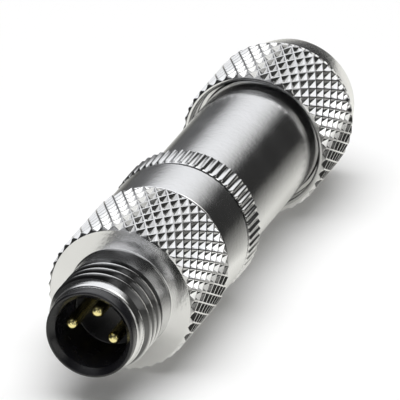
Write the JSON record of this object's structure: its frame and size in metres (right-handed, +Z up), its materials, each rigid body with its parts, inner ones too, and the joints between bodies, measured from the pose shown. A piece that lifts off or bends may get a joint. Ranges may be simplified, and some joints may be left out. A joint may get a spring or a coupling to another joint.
{
  "type": "circular sensor connector",
  "caption": "Slim circular sensor plug: threaded coupling screw around pin contacts in a black insert, metal barrel, and a knurled pressure nut that clamps the cable.",
  "frame": {"origin": "on the connector's axis, in the front face of the coupling screw's flange, where the thread ends", "axes": "+Y along the axis towards the cable entry, pins face -Y; +Z up, near the middle contact pin"},
  "size_m": [0.0116, 0.0482, 0.0116],
  "materials": {
    "nickel": "turned and nickel-plated brass, bright with fine turning marks",
    "black_plastic": "moulded, satin gloss",
    "gold": "gold-plated, polished",
    "steel": "plain bright steel",
    "rubber": "matt moulded rubber",
    "grey_plastic": "moulded, matt"
  },
  "bodies": {
    "housing": {"front_housing": "nickel", "contact_carrier": "black_plastic", "contact_pin_1": "gold", "contact_pin_4": "gold", "contact_pin_3": "gold", "terminal_screws": "steel", "retaining_ring": "steel", "carrier_seal": "rubber", "housing_seal": "rubber"},
    "coupling": {"coupling_screw": "nickel"},
    "liner": {"insulating_sleeve": "grey_plastic"},
    "barrel": {"barrel_sleeve": "nickel", "shield_ring": "nickel"},
    "clamp": {"clamping_cage": "grey_plastic", "cable_seal": "rubber", "thrust_washer": "steel"},
    "nut": {"pressure_nut": "nickel"}
  },
  "joints": [
    {"name": "coupling_spin", "type": "hinge", "parent": "housing", "child": "coupling", "pos_m": [0, 0.004, 0], "axis": [0, 1, 0], "continuous": true},
    {"name": "liner_draw", "type": "slide", "parent": "housing", "child": "liner", "axis": [0, 1, 0], "range_m": [0, 0.00337]},
    {"name": "barrel_turn", "type": "hinge", "parent": "liner", "child": "barrel", "pos_m": [0, 0.016, 0], "axis": [0, 1, 0], "range_deg": [0, 1620]},
    {"name": "clamp_draw", "type": "slide", "parent": "barrel", "child": "clamp", "axis": [0, 1, 0], "range_m": [0, 0.00375]},
    {"name": "nut_turn", "type": "hinge", "parent": "clamp", "child": "nut", "pos_m": [0, 0.035, 0], "axis": [0, 1, 0], "range_deg": [0, 1800]}
  ],
  "couplings": [
    {"joint": "barrel_turn", "follows": "liner_draw", "rad_per_m": 8377.6},
    {"joint": "nut_turn", "follows": "clamp_draw", "rad_per_m": 8377.6}
  ]
}
